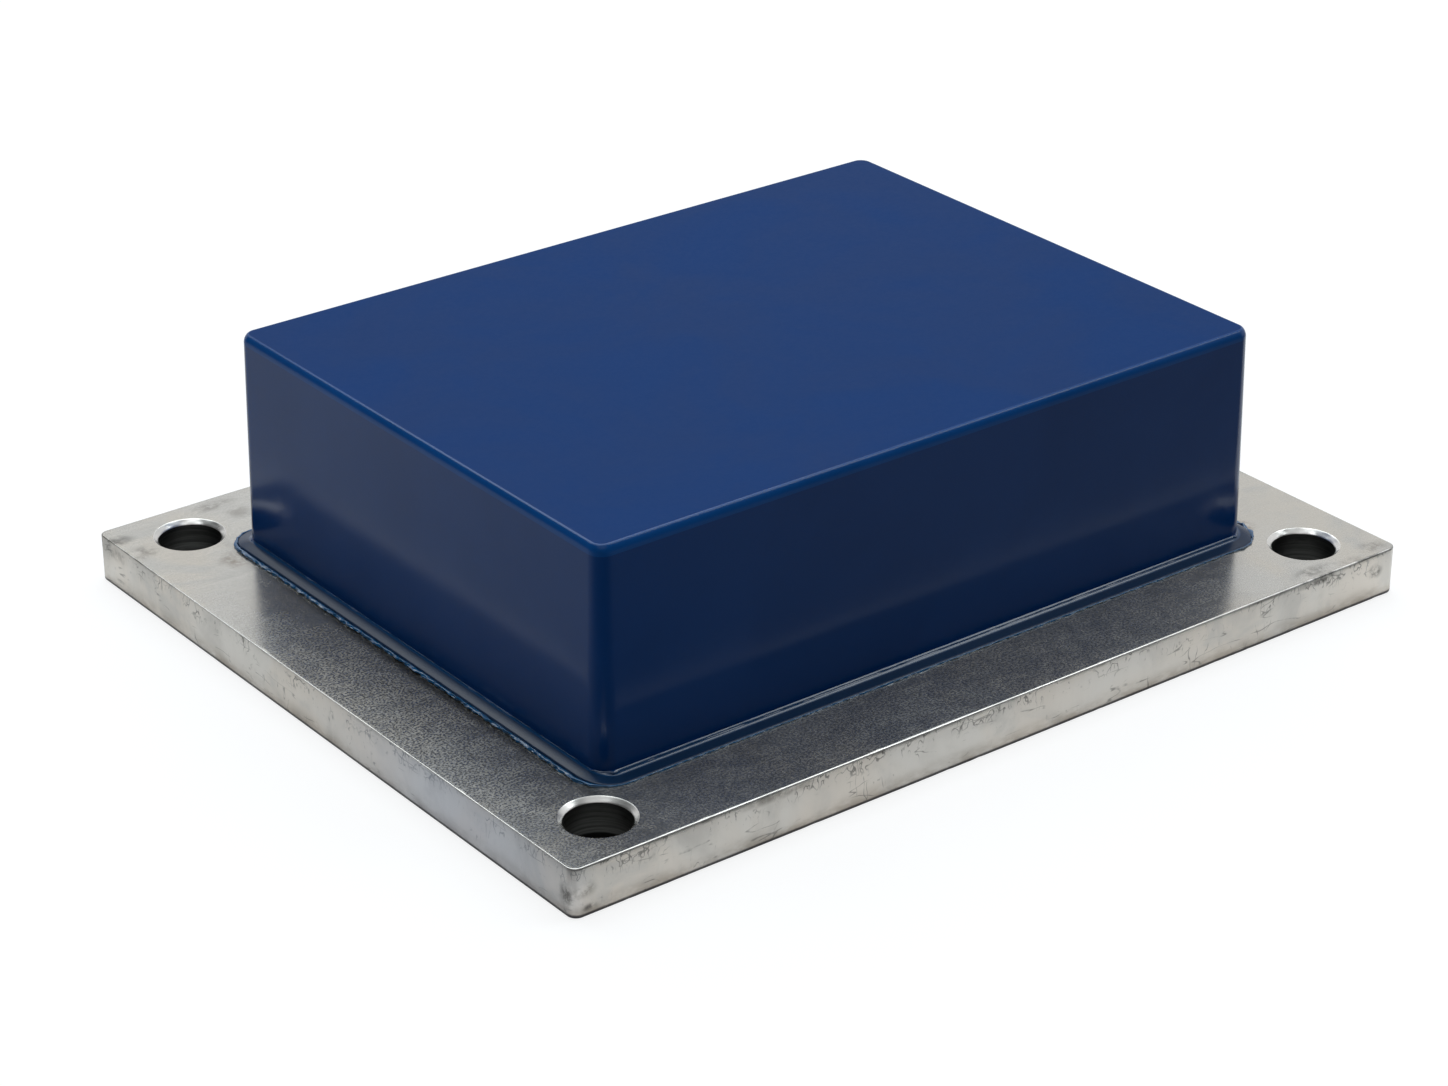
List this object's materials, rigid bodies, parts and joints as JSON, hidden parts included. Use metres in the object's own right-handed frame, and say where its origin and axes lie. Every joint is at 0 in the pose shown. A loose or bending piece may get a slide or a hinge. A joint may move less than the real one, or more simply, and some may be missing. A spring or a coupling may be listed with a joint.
{
  "type": "bonded polyurethane pad",
  "caption": "Rectangular cast polyurethane block with a thin flared skirt, bonded to a flat steel base plate with chamfered bolt holes at its corners.",
  "frame": {"origin": "centre of the base plate's underside, where the pad stands on what it is bolted to", "axes": "+X along the plate's long side, +Y along its short side, +Z from the plate up through the block"},
  "size_m": [0.2, 0.162, 0.055],
  "materials": {
    "bare_steel": "bare bright bar, lightly scuffed, fine grain along its length",
    "blue_polyurethane": "satin cast surface, deep blue"
  },
  "bodies": {
    "root": {"steel_base_plate": "bare_steel", "polyurethane_block": "blue_polyurethane"}
  },
  "joints": []
}
